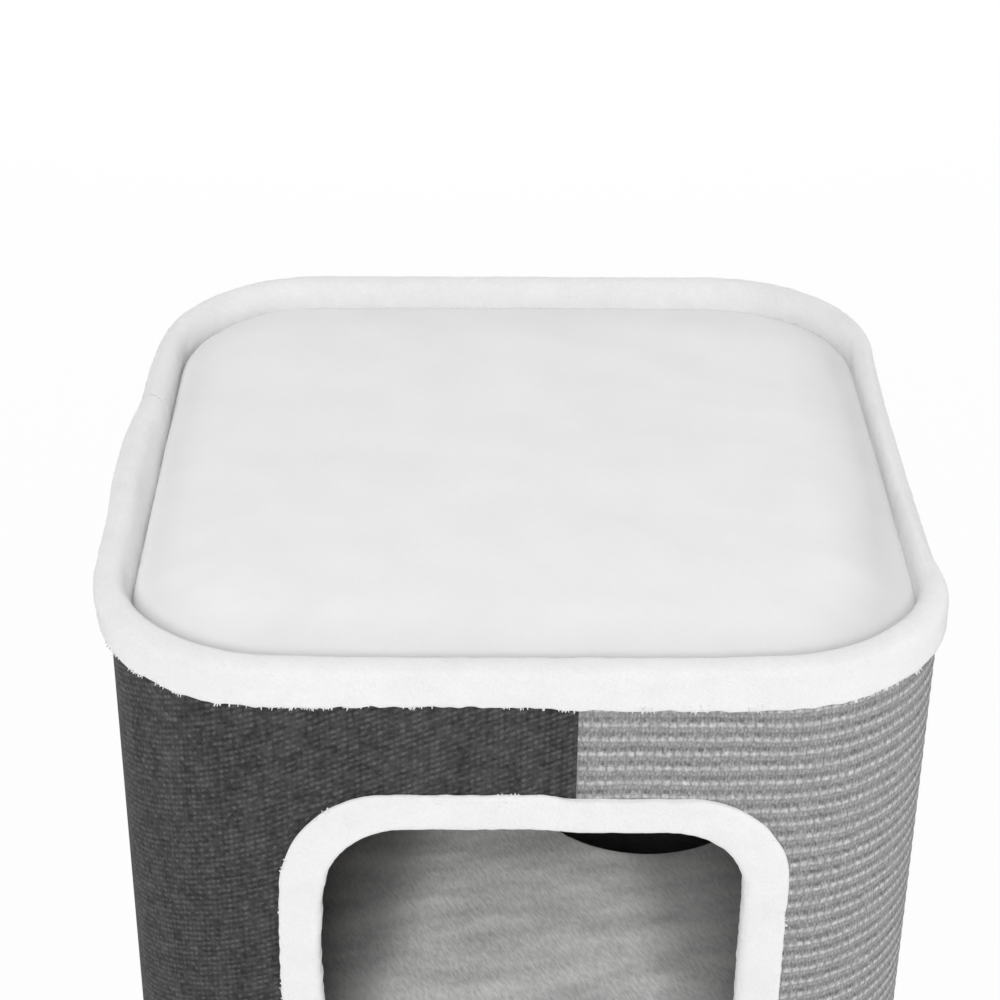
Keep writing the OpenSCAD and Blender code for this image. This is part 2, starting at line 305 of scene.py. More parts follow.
def plush_material(name, dark, light, tuft, brush, lay, stretch, depth, sweep=0.3, shading=0.5,
                   painted_side_shade=0.0, painted_edge_shades=False):
    """Pile cloth between two grey levels, shaded by tufts and by brushing; painted shade darkens it towards
    a floor's sides and depth, and near edges that its mesh attribute marks.
    """
    material, tree, shader = new_material(name, 0.95)
    shader.inputs["Sheen Weight"].default_value = 0.05
    shader.inputs["Sheen Roughness"].default_value = 0.5
    pile = use_group(tree, PILE, Tuft=tuft, Brush=brush, Lay=lay, Sweep=sweep, Stretch=stretch)
    share = pile["Tufts"] * (1 - shading) + pile["Brushed"] * shading
    colour = blend_colours(ranged(share, *PILE_CONTRAST), grey(dark), grey(light))
    # Painted shade: darker towards the sides of a floor and further in from the entry, standing in for the
    # light that falls off there
    if painted_side_shade:
        place = add(tree, "SeparateXYZ", {0: add(tree, "TexCoord", output="Object")})
        away = place["Y"] * PAINTED_SHADE_SPREAD + (place["X"] - PAINTED_SHADE_MIDDLE).op("ABSOLUTE")
        laid = ranged(away, PAINTED_SHADE_FROM, PAINTED_SHADE_TO, "SMOOTHSTEP")
        inside = ranged(place["Y"], PAINTED_SHADE_ENTRY, PAINTED_SHADE_INSIDE, "SMOOTHSTEP")
        colour = blend_colours(laid * painted_side_shade + inside * PAINTED_SHADE_DEEP, colour, PAINTED_SHADE_DARK)
    # Painted shade near the pad's edges, read from the mesh attribute
    if painted_edge_shades:
        turn = add(tree, "Attribute", output="Fac", attribute_name=EDGE_SHADE_ATTRIBUTE)
        colour = blend_colours(turn, colour, BLACK)
    finish_surface(shader, colour, pile["Tufts"], depth)
    return material


def yarn_float(yarn, along, over, least):
    """Pale share of a float: its middle, sharpened along and over it, in its own shade above the least."""
    return yarn["Along"] ** along * yarn["Over"] ** over * (yarn["Shade"] * (1 - least) + least)


def cloth_noise(tree, across, up):
    """Noise on the UV map about zero, with lumps across by up metres."""
    laid = add(tree, "TexCoord", output="UV")
    return lumps(vector_op(laid, "MULTIPLY", (1 / across, 1 / up, 1)), 1.0, 2.0) - 0.5


# Uneven tone of the twill: lumps across and up in mm, and how much they show; the long narrow lumps make
# faint vertical streaks
TWILL_TONE_NOISE = [(2.8, 2.8, 0.65), (11, 8, 0.42), (14, 220, 0.25), (2.5, 40, 0.25)]


def twill_material():
    """Charcoal twill with pale flecks in slanted rows, a few threads duller than the rest."""
    material, tree, shader = new_material("dark_twill")
    yarn = use_group(tree, WEAVE, Across=2.65 * MM, Up=3.2 * MM, Rise=0.42, Waver=0.45, Stir=1.7 * MM)
    fleck = yarn_float(yarn, 0.6, 2.5, 0.1)
    share = fleck * 0.46 + 0.13
    for across, up, amount in TWILL_TONE_NOISE:
        share = share + cloth_noise(tree, across * MM, up * MM) * amount
    finish_surface(shader, blend_colours(share, grey(43), grey(119)), fleck, 0.22 * MM)
    return material


# Height of one row of the ribbed weave; every third row is pale, this share of three rows up
RIB = 2.75 * MM
RIB_PHASE = 0.29


def ribbed_material():
    """Coarse weave: rows of long pale floats between rows of small duller ones."""
    material, tree, shader = new_material("ribbed_weave")
    laid = {"Across": 4.4 * MM, "Up": 3 * RIB, "Slant": -0.1, "Waver": 0.12, "Stir": 2.2 * MM}
    floats = use_group(tree, WEAVE, Loose=0.15, Shift=RIB_PHASE, **laid)
    gaps = use_group(tree, WEAVE, **laid)
    beads = use_group(tree, WEAVE, Across=1.8 * MM, Up=RIB, Loose=1.0, Waver=0.6, Stir=2.2 * MM)
    blobs = cloth_noise(tree, 1.6 * MM, 3.0 * MM) * 1.6 + 1.0
    pale = yarn_float(floats, 0.7, 5.0, 0.6) * blobs
    dull = yarn_float(beads, 0.8, 0.5, 0.3)
    deep = yarn_float(gaps, 0.5, 8.0, 0.3)
    ground = dull * 0.28 + 0.19 + cloth_noise(tree, 1.6 * MM, 1.8 * MM) * 0.5
    share = pale * 0.48 + ground - deep * 0.25
    finish_surface(shader, blend_colours(share, grey(100), grey(228)), dull * 0.6 + pale, 0.5 * MM)
    return material


def tape_material():
    """Black woven tape and bottom cloth."""
    material, tree, shader = new_material("black_tape")
    share = yarn_float(use_group(tree, WEAVE, Across=1.6 * MM, Up=1.1 * MM, Slant=0.5), 0.6, 1.0, 0.5)
    finish_surface(shader, blend_colours(share, grey(30), grey(62)), share, 0.3 * MM)
    return material


def wood_material(name, dark, light, fibre, stretch):
    """Bare wood or fibreboard."""
    material, tree, shader = new_material(name, 0.7, cloth=False)
    wood = use_group(tree, GRAIN, Fibre=fibre, Stretch=stretch)
    share = ranged(wood["Grain"] * 0.7 + wood["Mottle"] * 0.3, 0.32, 0.68)
    finish_surface(shader, blend_colours(share, dark, light), wood["Grain"], 0.15 * MM)
    return material


def steel_material():
    """Zinc plated screws."""
    material, tree, shader = new_material("screw_steel", 0.35, cloth=False)
    shader.inputs["Metallic"].default_value = 1.0
    wear = use_group(tree, GRAIN, Fibre=0.6 * MM, Stretch=1.0)
    colour = blend_colours(wear["Mottle"], (0.5, 0.5, 0.5, 1), (0.72, 0.72, 0.7, 1))
    finish_surface(shader, colour, wear["Grain"], 0.02 * MM)
    return material


WHITE_PLUSH = plush_material(
    "white_plush", 234, 242, tuft=1.8 * MM, brush=20 * MM, lay=0.4, stretch=1.4, depth=0.6 * MM)
# Floor pile, with painted shade towards its sides and depth
GREY_PILE = plush_material(
    "grey_pile", 189, 253, tuft=5.0 * MM, brush=50 * MM, lay=1.15, stretch=3.0, depth=0.9 * MM,
    sweep=-0.15, shading=0.54, painted_side_shade=0.5)
GREY_LINING = plush_material(
    "grey_lining", 52, 78, tuft=1.4 * MM, brush=14 * MM, lay=1.3, stretch=1.8, depth=0.8 * MM)
# Cushion velvet, with painted shade near the pad's edges
CUSHION_VELVET = plush_material(
    "cushion_velvet", 237, 244, tuft=0.9 * MM, brush=40 * MM, lay=0.2, stretch=1.3, depth=0.12 * MM,
    painted_edge_shades=True)
DARK_TWILL = twill_material()
WOVEN_FABRIC = ribbed_material()
BLACK_TAPE = tape_material()
WALL_PANEL = wood_material("wall_panel", (0.42, 0.38, 0.31, 1), (0.66, 0.63, 0.55, 1), 1.5 * MM, 1.0)
FIBREBOARD = wood_material("fibreboard", (0.36, 0.24, 0.13, 1), (0.56, 0.42, 0.26, 1), 1.5 * MM, 1.0)
BATTEN = wood_material("batten", (0.5, 0.32, 0.16, 1), (0.76, 0.57, 0.34, 1), 30 * MM, 9.0)
SCREW_STEEL = steel_material()


# Mesh helpers
TOUCH = 1e-6


def laid_grid(columns, rows, place, size):
    """Grid whose vertices place(u, v) sets, u and v from 0 to 1, with a UV map in metres over its size."""
    bm = bmesh.new()
    uv = bm.loops.layers.uv.new("UVMap")
    bmesh.ops.create_grid(bm, x_segments=columns, y_segments=rows, size=0.5)
    for face in bm.faces:
        for loop in face.loops:
            loop[uv].uv = ((loop.vert.co.x + 0.5) * size[0], (loop.vert.co.y + 0.5) * size[1])
    for vert in bm.verts:
        vert.co = place(vert.co.x + 0.5, vert.co.y + 0.5)
    return bm


def joined(bm):
    """Joins the vertices of a mesh that meet."""
    bmesh.ops.remove_doubles(bm, verts=bm.verts, dist=TOUCH)
    return bm


def closed(bm):
    """Joins the edges of a grid that meet, closes and creases its ends, and turns its faces outwards."""
    joined(bm)
    bmesh.ops.holes_fill(bm, edges=[edge for edge in bm.edges if edge.is_boundary], sides=0)
    bmesh.ops.recalc_face_normals(bm, faces=bm.faces)
    crease = bm.edges.layers.float.new("crease_edge")
    for face in bm.faces:
        if len(face.verts) > 4:
            for edge in face.edges:
                edge[crease] = 1.0
    return bm


def bevel(bm, edges, offset, segments):
    bmesh.ops.bevel(bm, geom=edges, offset=offset, segments=segments, profile=0.5, affect="EDGES",
                    material=-1)


def climb(edge):
    """How far one end of an edge lies above the other."""
    return abs(edge.verts[0].co.z - edge.verts[1].co.z)


def put(name, data):
    """New object at the origin of the scene."""
    thing = bpy.data.objects.new(name, data)
    SCENE.collection.objects.link(thing)
    return thing


def mesh_of(bm, name):
    mesh = bpy.data.meshes.new(name)
    bm.to_mesh(mesh)
    bm.free()
    return mesh


def subdivide(piece, levels):
    smooth = piece.modifiers.new("Smooth", "SUBSURF")
    smooth.levels = smooth.render_levels = levels


def make_piece(shape, name, material, slot, body, nodes=(), thickness=0.0, side=-1, levels=0):
    """Piece of the object from a bmesh or a mesh: smooth, with its thickness, riding on its body."""
    mesh = shape if isinstance(shape, bpy.types.Mesh) else mesh_of(shape, name)
    mesh.shade_smooth()
    mesh.materials.append(material)
    piece = put(name, mesh)
    if thickness:
        wall = piece.modifiers.new("Thickness", "SOLIDIFY")
        wall.thickness, wall.offset = thickness, side
    if levels:
        subdivide(piece, levels)
    if nodes:
        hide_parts(*nodes)
    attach(piece, body)
    return piece


# Entries: rounded rectangles in the front wall
ENTRY_LAP = 20 * MM
ENTRY_R = 30 * MM
ENTRY_SNAP = 9 * MM


class Entry:
    """Clear rounded rectangle of one entry, in x and z."""

    def __init__(self, node):
        low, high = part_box(node)
        self.x = (low.x + high.x) / 2
        self.z = (low.z + high.z) / 2
        self.half_x = (high.x - low.x) / 2 - ENTRY_LAP
        self.half_z = (high.z - low.z) / 2 - ENTRY_LAP

    def outside(self, x, z):
        """Distance outside the clear edge, negative inside, and the way out in x and z."""
        dx, dz = x - self.x, z - self.z
        over_x, over_z = abs(dx) - self.half_x + ENTRY_R, abs(dz) - self.half_z + ENTRY_R
        if over_x > 0 and over_z > 0:
            reach = hypot(over_x, over_z)
            return reach - ENTRY_R, copysign(over_x / reach, dx), copysign(over_z / reach, dz)
        if over_x > over_z:
            return over_x - ENTRY_R, copysign(1, dx), 0
        return over_z - ENTRY_R, 0, copysign(1, dz)

    def edge_at(self, walk):
        """Point of the clear edge and the way out of it, walk metres clockwise from its top's middle."""
        point, out = rounded_walk(self.half_x - ENTRY_R, self.half_z - ENTRY_R, ENTRY_R, walk)
        return Vector((point.x, -point.y)), Vector((out.x, -out.y))

    def length(self):
        return 4 * (self.half_x + self.half_z - 2 * ENTRY_R) + 2 * pi * ENTRY_R


ENTRIES = {name: Entry(name + "_binding") for name in ("upper_entry", "lower_entry")}


def nearest_entry(centre):
    return min(ENTRIES.values(), key=lambda entry: abs(entry.z - centre.z))


def open_entries(bm, lap=ENTRY_LAP / 2):
    """Cuts the entries out of a front sheet, lap metres outside their clear edge."""
    inside = []
    for face in bm.faces:
        middle = face.calc_center_median()
        if middle.y < -RUN and any(entry.outside(middle.x, middle.z)[0] < lap for entry in ENTRIES.values()):
            inside.append(face)
    bmesh.ops.delete(bm, geom=inside, context="FACES")
    for vert in bm.verts:
        if vert.is_boundary and vert.co.y < -RUN:
            for entry in ENTRIES.values():
                away, out_x, out_z = entry.outside(vert.co.x, vert.co.z)
                if abs(away - lap) < ENTRY_SNAP:
                    vert.co.x += (lap - away) * out_x
                    vert.co.z += (lap - away) * out_z
    return bm


def wall_cloth(node, start, end, grid, lie, material, slot, thickness, share=1.0, inside=False):
    """Sheet on the wall between two walks, as far out and up as lie says; entries leave a share of it."""
    low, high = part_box(node)
    length, height = end - start, high.z - low.z

    def place(u, v):
        walk, z = start + u * length, low.z + v * height
        point, facing = wall_at(walk)
        out, rise = lie(walk, z)
        return point + facing * out + UP * (z + rise)

    bm = laid_grid(*grid, place, (length, height))
    if share < 1:
        open_entries(bm)
    if inside:
        bmesh.ops.reverse_faces(bm, faces=bm.faces)
    cloth = make_piece(bm, node + "_cloth", material, slot, "shell", [node], thickness, 0 if inside else -1)
    share * length * height


# Outer fabrics and linings
FRONT_SEAM = 23 * MM
BACK_SEAM = PERIMETER / 2 - FRONT_SEAM
COVER_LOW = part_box("dark_cover")[0].z
COVER_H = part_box("dark_cover")[1].z - COVER_LOW
COVER_SHARE = 0.86
DARK_T = 0.8 * MM
DARK_GRID = 176, 92
WOVEN_T = 0.5 * MM
SEAM_DIP = 0.45 * MM
SEAM_ROLL = 3 * MM
SEAM_GAP = 0.06 * MM
RIB_H = 0.3 * MM
CORD_H = 0.2 * MM
RIB_STEPS = 3
WOVEN_GRID = 76, round(COVER_H / RIB * RIB_STEPS)
LINING_OUT = -6.5 * MM
LINING_T = 1.8 * MM
LINING_GAP = 0.3 * MM
LINING_GRID = 170, 100
FRONT_LINING_SHARE = 0.78


def seam_dip(walk):
    """How far a fabric rolls in where it meets the other one."""
    near = min(abs((walk - seam + PERIMETER / 2) % PERIMETER - PERIMETER / 2)
               for seam in (FRONT_SEAM, BACK_SEAM))
    return SEAM_DIP * (1 - steady(near, 0, SEAM_ROLL))


def dark_lie(walk, z):
    return 0.25 * MM * ripple((walk, z * 0.25, 1), 45 * MM) - 0.35 * MM - seam_dip(walk), 0


def woven_lie(walk, z):
    up = z - COVER_LOW
    share = up / COVER_H
    cord = abs(sin(pi * (up / (3 * RIB) + RIB_PHASE))) ** 6
    rib = RIB_H * abs(sin(pi * up / RIB)) + CORD_H * cord
    slack = 0.2 * MM * ripple((walk, up * 0.3, 2), 50 * MM) - 0.65 * MM
    wander = 0.7 * MM * ripple((walk, up, 0), 35 * MM)
    return slack + rib - seam_dip(walk), wander * steady(share, 0, 0.02) * steady(1 - share, 0, 0.02)


def lining_lie(walk, z):
    return LINING_OUT + 0.25 * MM * ripple((walk, z, 3), 18 * MM), 0


# Plush bindings
WALL_T = 7.5 * MM
THROAT = WALL_T / 2 + 0.1 * MM
PLUSH_T = 3.5 * MM
PLUSH_TIP = 1.6 * MM
THROAT_LOW = 1.2 * MM
ARCH_STEPS = 7
LEG_STEPS = 6


def plush_roll(half_w, height, roof, outer, inner):
    """Section of a binding folded over an edge: an arched top, two soft legs, and the throat for the edge.

    Each half is the height of its arch and how round it is, from 0.5 to 1.
    Each point is (across, up from the legs' ends, 1 outside or 0 in the throat).
    """
    def half(arch, power):
        points = [(THROAT + 0.3 * MM, 0.6 * MM), (half_w - PLUSH_TIP, 0.0), (half_w - 0.4 * MM, 0.4 * MM)]
        leg = height - arch - PLUSH_TIP
        points += [(half_w, PLUSH_TIP + leg * step / LEG_STEPS) for step in range(LEG_STEPS)]
        for step in range(ARCH_STEPS):
            angle = pi / 2 * step / ARCH_STEPS
            rise = arch * sin(angle) ** power
            points.append((half_w * cos(angle) ** power, height - arch + rise))
        return points

    outside = half(*outer) + [(0, height)] + [(-across, up) for across, up in reversed(half(*inner))]
    inside = [(-THROAT, THROAT_LOW), (-THROAT, roof / 2), (-THROAT, roof), (0, roof),
              (THROAT, roof), (THROAT, roof / 2), (THROAT, THROAT_LOW)]
    return [(across, up, 1.0) for across, up in outside] + [(across, up, 0.0) for across, up in inside]


def ragged(walk, seed, depth):
    """How far the edge of the plush pulls back between its hanging tufts."""
    broad, fine = (abs(ripple((walk, row, 0), size, seed)) for row, size in ((0, 12 * MM), (5, 4.5 * MM)))
    return depth * (broad + 0.6 * fine - 0.5)


RIM_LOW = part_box("front_rim_binding")[0].z
RIM_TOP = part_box("front_rim_binding")[1].z
RIM_H = RIM_TOP - RIM_LOW
RIM_HALF_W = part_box("front_rim_binding")[1].x - HALF + WALL_T / 2
RIM_JOINT = 48
# Along the wall, in mm: where the soft rim stands out of its true line or into it, from joint to joint
FRONT_RIM_LEAN = [
    (left_walk(48), 0.6), (left_walk(27), 3.5), (left_walk(5), 5.2),
    (left_walk(-33), 5.5), (left_walk(-46), 4.3), (left_walk(-65), 3.4),
    (left_walk(-110), 3.2), (-60 * MM, 0.0), (110 * MM, 0.0), (right_walk(-136), 0.0),
    (right_walk(-122), -3.2), (right_walk(-108), -7.4), (right_walk(-92), -9.6),
    (right_walk(-48), -10.2),
]
BACK_RIM_LEAN = [
    (right_walk(-48), -10.2), (right_walk(0), -10.5), (right_walk(60), -8.0),
    (right_walk(126), -3.0), (PERIMETER / 2, -1.0), (PERIMETER / 2 + RUN, -1.0),
    (PERIMETER / 2 + RUN + CORNER_ARC / 2, -3.5), (PERIMETER + left_walk(123), -2.5),
    (PERIMETER + left_walk(95), 0.0), (PERIMETER + left_walk(48), 0.6),
]
# How far the rim's top sags, and how far its outer leg hangs below its true end
RIM_SAG = [
    (left_walk(-60), 0.0), (-RUN - CORNER_ARC / 2, 1.0), (-RUN, 2.8), (-85 * MM, 4.0), (-50 * MM, 4.5),
    (80 * MM, 4.5), (RUN, 3.2), (RUN + CORNER_ARC / 2, 1.0), (right_walk(-90), 0.5),
    (right_walk(-40), 4.0), (right_walk(60), 4.0), (right_walk(120), 0.0),
]
RIM_HANG = [(-60 * MM, 0.0), (0, 0.6), (25 * MM, 2.2), (95 * MM, 2.4), (RUN + CORNER_ARC / 2, 0.0)]
# Outer and inner half of the rim's section, along the front and along the sides and back
RIM_FLAT = (8 * MM, 0.65), (12 * MM, 0.9)
RIM_FULL = (13 * MM, 0.95), (13 * MM, 0.95)
# Where the rim leans in, its leg gives by the squash at most, and the lean starts above the wall's top
RIM_SQUASH = 3.2 * MM
RIM_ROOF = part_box("front_core")[1].z - RIM_LOW + 0.5 * MM
RIM_STEP = 1.9 * MM
RIM_EASE = [-8 * MM, -5 * MM, -2 * MM, 2 * MM, 5 * MM, 8 * MM]
RIM_RAGGED = 2.3 * MM


def rim_lean(walk, lean, up, share):
    """How far the rim stands out of its true line at a height, from its inside at 0 to its outside at 1."""
    lean_here = sum(table_value(lean, walk + step) for step in RIM_EASE) / len(RIM_EASE) * MM
    if lean_here < 0:
        top = min(max((up - RIM_ROOF) / (RIM_H - RIM_ROOF), 0), 1) ** 1.2
        inner = 0.15 * lean_here * top
        foot = max(lean_here, -RIM_SQUASH)
    else:
        top = steady(up, 4 * MM, 19 * MM)
        inner = 0.75 * lean_here * top
        foot = 0.6 * lean_here
    return inner + (foot + (lean_here - foot) * top - inner) * share


def plush_piece(bm, name, nodes):
    piece = make_piece(bm, name + "_plush", WHITE_PLUSH, "white_plush", "shell", nodes, levels=1)
    return piece


def rim_binding(name, start, end, lean, seed):
    length = end - start
    flat, full = (plush_roll(RIM_HALF_W, RIM_H, RIM_ROOF, *halves) for halves in (RIM_FLAT, RIM_FULL))
    count = len(flat)

    def place(u, v):
        walk = start + u * length
        sides = steady(abs(walk), RUN + CORNER_ARC / 3, RUN + CORNER_ARC)
        number = round(v * count) % count
        across, up, plush = (f + (s - f) * sides for f, s in zip(flat[number], full[number]))
        point, facing = wall_at(walk)
        lump = plush * (0.35 * MM * ripple((walk, across, up), 10 * MM, seed)
                        + 0.25 * MM * ripple((walk, across, up), 4.5 * MM, seed + 1) - 0.2 * MM)
        shift = plush * rim_lean(walk, lean, up, (across / RIM_HALF_W + 1) / 2)
        rise = plush * (1 - steady(up, 0, 7 * MM)) * ragged(walk, seed + 2, RIM_RAGGED)
        sagged = steady(up, (11 - 7 * sides) * MM, (22 + 2 * sides) * MM)
        rise += lump * steady(up, 18 * MM, 25 * MM) - plush * table_value(RIM_SAG, walk) * MM * sagged
        if across > 0:
            rise -= plush * table_value(RIM_HANG, walk) * MM * (1 - steady(up, 0, 12 * MM))
        out = across + abs(lump) * across / RIM_HALF_W - WALL_T / 2 + shift
        return point + facing * out + UP * (RIM_LOW + up + rise)

    bm = closed(laid_grid(round(length / RIM_STEP), count, place, (length, 0.1)))
    return plush_piece(bm, name, [name, name.replace("binding", "foam")])


# Entry bindings: their plush looks rounder at the corners than the cut, and steps at the seam, x against mm
PLUSH_CORNER_R = 38 * MM
CORNER_EXTRA = PLUSH_CORNER_R - ENTRY_R
BINDING_STEP = [(-1.0, 1.4), (8 * MM, 1.4), (21 * MM, -1.8), (1.0, -1.8)]
BINDING_ARCH = 5 * MM, 0.75
BINDING_GRAIN = 1.7 * MM


def corner_fill(entry, edge, out):
    """How far the plush fills a clear corner."""
    if abs(out.x) > TOUCH and abs(out.y) > TOUCH:
        lead = CORNER_EXTRA * (abs(out.x) + abs(out.y))
        return ENTRY_R + lead - sqrt(lead * lead + PLUSH_CORNER_R ** 2 - 2 * CORNER_EXTRA ** 2)
    level = abs(out.y) > 0.5
    short = (entry.half_x - abs(edge.x) if level else entry.half_z - abs(edge.y)) - ENTRY_R
    return PLUSH_CORNER_R - sqrt(
        PLUSH_CORNER_R ** 2 - min(max(CORNER_EXTRA - short, 0), CORNER_EXTRA) ** 2)


def binding_drift(entry, edge, out):
    """How far an entry's plush drifts out of its true line, at its clear edge and at its outer edge."""
    side, top = abs(out.x) ** 3, max(out.y, 0) ** 3
    if out.x < 0:
        side_in, side_out = (3.1 * max(1 - (edge.y / span) ** 2, 0) for span in (53 * MM, 75 * MM))
    else:
        side_in, side_out = -1.2, 0.2
    x = entry.x + edge.x
    inner = side_in * side - 2.0 * steady(x, 0, 30 * MM) * top
    outer = side_out * side + table_value(BINDING_STEP, x) * top
    return inner * MM - corner_fill(entry, edge, out), outer * MM


def entry_binding(name):
    entry = ENTRIES[name]
    length = entry.length()
    low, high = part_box(name + "_binding")
    middle_y = (high.y + low.y) / 2
    section = plush_roll((high.y - low.y) / 2, ENTRY_LAP, ENTRY_LAP - PLUSH_T, BINDING_ARCH, BINDING_ARCH)
    count = len(section)
    seed = 5 if name.startswith("upper") else 8

    def place(u, v):
        walk = u * length
        across, up, plush = section[round(v * count) % count]
        edge, out = entry.edge_at(walk)
        lump = plush * (0.3 * MM * ripple((edge.x, edge.y, across + 3 * up), 9 * MM, seed)
                        + 0.2 * MM * ripple((edge.x, edge.y, across - 3 * up), 4 * MM, seed + 1) - 0.2 * MM)
        inner, outer = binding_drift(entry, edge, out)
        wide = 1 - steady(up, 0, 14 * MM)
        nubs = 0.6 * MM * ripple((edge.x, edge.y, 7), 3 * MM, seed + 4)
        drift = wide * (outer - ragged(walk, seed + 2, 1.0 * MM)) + steady(up, 8 * MM, 18 * MM) * inner
        reach = ENTRY_LAP - up - lump * steady(up, 13 * MM, 19 * MM)
        reach += plush * (drift + nubs * steady(up, 15 * MM, 19.5 * MM))
        spot = edge + out * reach
        bend = max(abs(entry.x + spot.x) - RUN, 0)
        deep = across + copysign(lump, across) * (abs(across) > 2 * MM)
        return Vector((entry.x + spot.x, middle_y - deep + bend * bend / (2 * CORNER_R), entry.z + spot.y))

    bm = joined(laid_grid(round(length / BINDING_GRAIN), count, place, (length, 0.08)))
    bmesh.ops.recalc_face_normals(bm, faces=bm.faces)
    return plush_piece(bm, name, [name + "_binding"])


# Tufts along the plush's edges: how many, how long and how wide
RIM_TUFTS = 640, 2.1 * MM, 1.1 * MM
ENTRY_TUFTS = 300, 1.5 * MM, 1.4 * MM
TUFT_ROOT = 0.4 * MM
# Faces of one tuft: two rings of three vertices and its tip
TUFT_FACES = [(0, 1, 4, 3), (1, 2, 5, 4), (2, 0, 3, 5), (3, 4, 6), (4, 5, 6), (5, 3, 6), (2, 1, 0)]
TUFT_VERTS = 7


def unit(rows):
    return rows / np.linalg.norm(rows, axis=1, keepdims=True)


def fuzz(base, tufts, seed, keep, flow):
    """Short bent tufts of plush along flow, rooted at random on the faces of a piece that keep allows."""
    count, reach, width = tufts
    draw = np.random.default_rng(seed)
    mesh = base.data
    faces = [p for p in mesh.polygons if keep(p.center, p.normal)]
    areas = np.array([p.area for p in faces])
    picks = draw.choice(len(faces), count, p=areas / areas.sum())
    corners = np.array([[mesh.vertices[faces[p].vertices[i]].co for i in (0, 1, 2, -1)] for p in picks])
    normal = np.array([faces[p].normal for p in picks])
    share_u, share_v = draw.random((2, count, 1))
    roots = (corners[:, 0] * (1 - share_u) * (1 - share_v) + corners[:, 1] * share_u * (1 - share_v)
             + corners[:, 2] * share_u * share_v + corners[:, 3] * (1 - share_u) * share_v)
    lying = unit(np.array([flow(faces[p].center) for p in picks]) + 0.6 * draw.normal(size=(count, 3)))
    long = reach * draw.uniform(0.4, 1.0, (count, 1))
    first = unit(normal * 0.25 + lying)
    second = unit(normal * 0.1 + lying + 0.25 * draw.normal(size=(count, 3)))
    knee = roots + first * long * 0.55
    tip = knee + second * long * 0.45
    beside = unit(np.cross(first, normal + 0.1 * lying[:, [1, 2, 0]]))
    above = np.cross(beside, first)
    thick = width * draw.uniform(0.6, 1.0, (count, 1)) / 2
    ring = []
    for centre, scale in ((roots - normal * TUFT_ROOT, 1.0), (knee, 0.75)):
        for turn in range(3):
            angle = turn * 2 * pi / 3
            ring.append(centre + (beside * cos(angle) + above * sin(angle)) * thick * scale)
    verts = np.stack(ring + [tip], axis=1).reshape(-1, 3)
    faces = [tuple(i + TUFT_VERTS * k for i in face) for k in range(count) for face in TUFT_FACES]
    name = base.name.replace("plush", "tufts")
    mesh = bpy.data.meshes.new(name)
    mesh.from_pydata(verts.tolist(), [], faces)
    make_piece(mesh, name, WHITE_PLUSH, "white_plush", "shell")


def clumped(centre):
    """Where the tufts stand in clumps."""
    return ripple(centre, 16 * MM, 13) > 0.02


def rim_edge(centre, normal):
    """Faces along the rim's lower edge, outside."""
    outwards = normal.dot(Vector((centre.x, centre.y, 0)).normalized()) > 0.2
    return centre.z < RIM_LOW + 1.2 * MM and outwards and clumped(centre)


def hangs(centre):
    return -UP


def entry_edge(centre, normal):
    """Faces along the outer edge of an entry's binding."""
    away = nearest_entry(centre).outside(centre.x, centre.z)[0]
    return normal.y < 0.5 and away > 18.5 * MM and clumped(centre)


def leaves_entry(centre):
    out_x, out_z = nearest_entry(centre).outside(centre.x, centre.z)[1:]
    return Vector((out_x, 0, out_z))


# Boards and floors
PASSAGE = 79 * MM, 97 * MM, 72 * MM
BOARD_ROLL = 4 * MM
BOARD_FOOT = 3 * MM
TURN_UNDER = 32 * MM
BOARD_COLUMNS = 160
BOARD_RINGS = 34
BOARD_BUMPS = 0.3 * MM
# Sine and cosine of the steps of a quarter turn
TURNS = [(sin(turn * pi / 8), cos(turn * pi / 8)) for turn in range(5)]


def plan_reach(x, y, angle, half, corner):
    """Distance from (x, y) to the edge of a rounded square, along the given direction in plan."""
    low, high = 0.0, 4 * half
    for _ in range(40):
        middle = (low + high) / 2
        over_x = max(abs(x + middle * cos(angle)) - half + corner, 0)
        over_y = max(abs(y + middle * sin(angle)) - half + corner, 0)
        if hypot(over_x, over_y) < corner:
            low = middle
        else:
            high = middle
    return low


def polar_cloth(columns, rows, centre, half, corner):
    """Cloth laid out from a centre over a rounded square.

    Each row is its share of the reach to the edge, what is added to it, its height and its share of bumps.
    """
    angles = [2 * pi * step / columns for step in range(columns)]
    reaches = [plan_reach(*centre, angle, half, corner) for angle in angles]

    def place(u, v):
        column = round(u * columns) % columns
        share, more, z, bumpy = rows[round(v * (len(rows) - 1))]
        out = share * reaches[column] + more
        x, y = centre[0] + out * cos(angles[column]), centre[1] + out * sin(angles[column])
        return Vector((x, y, z + bumpy * BOARD_BUMPS * (ripple((x, y, z), 12 * MM, 3) - 0.6)))

    return laid_grid(columns, len(rows) - 1, place, (1, 1))


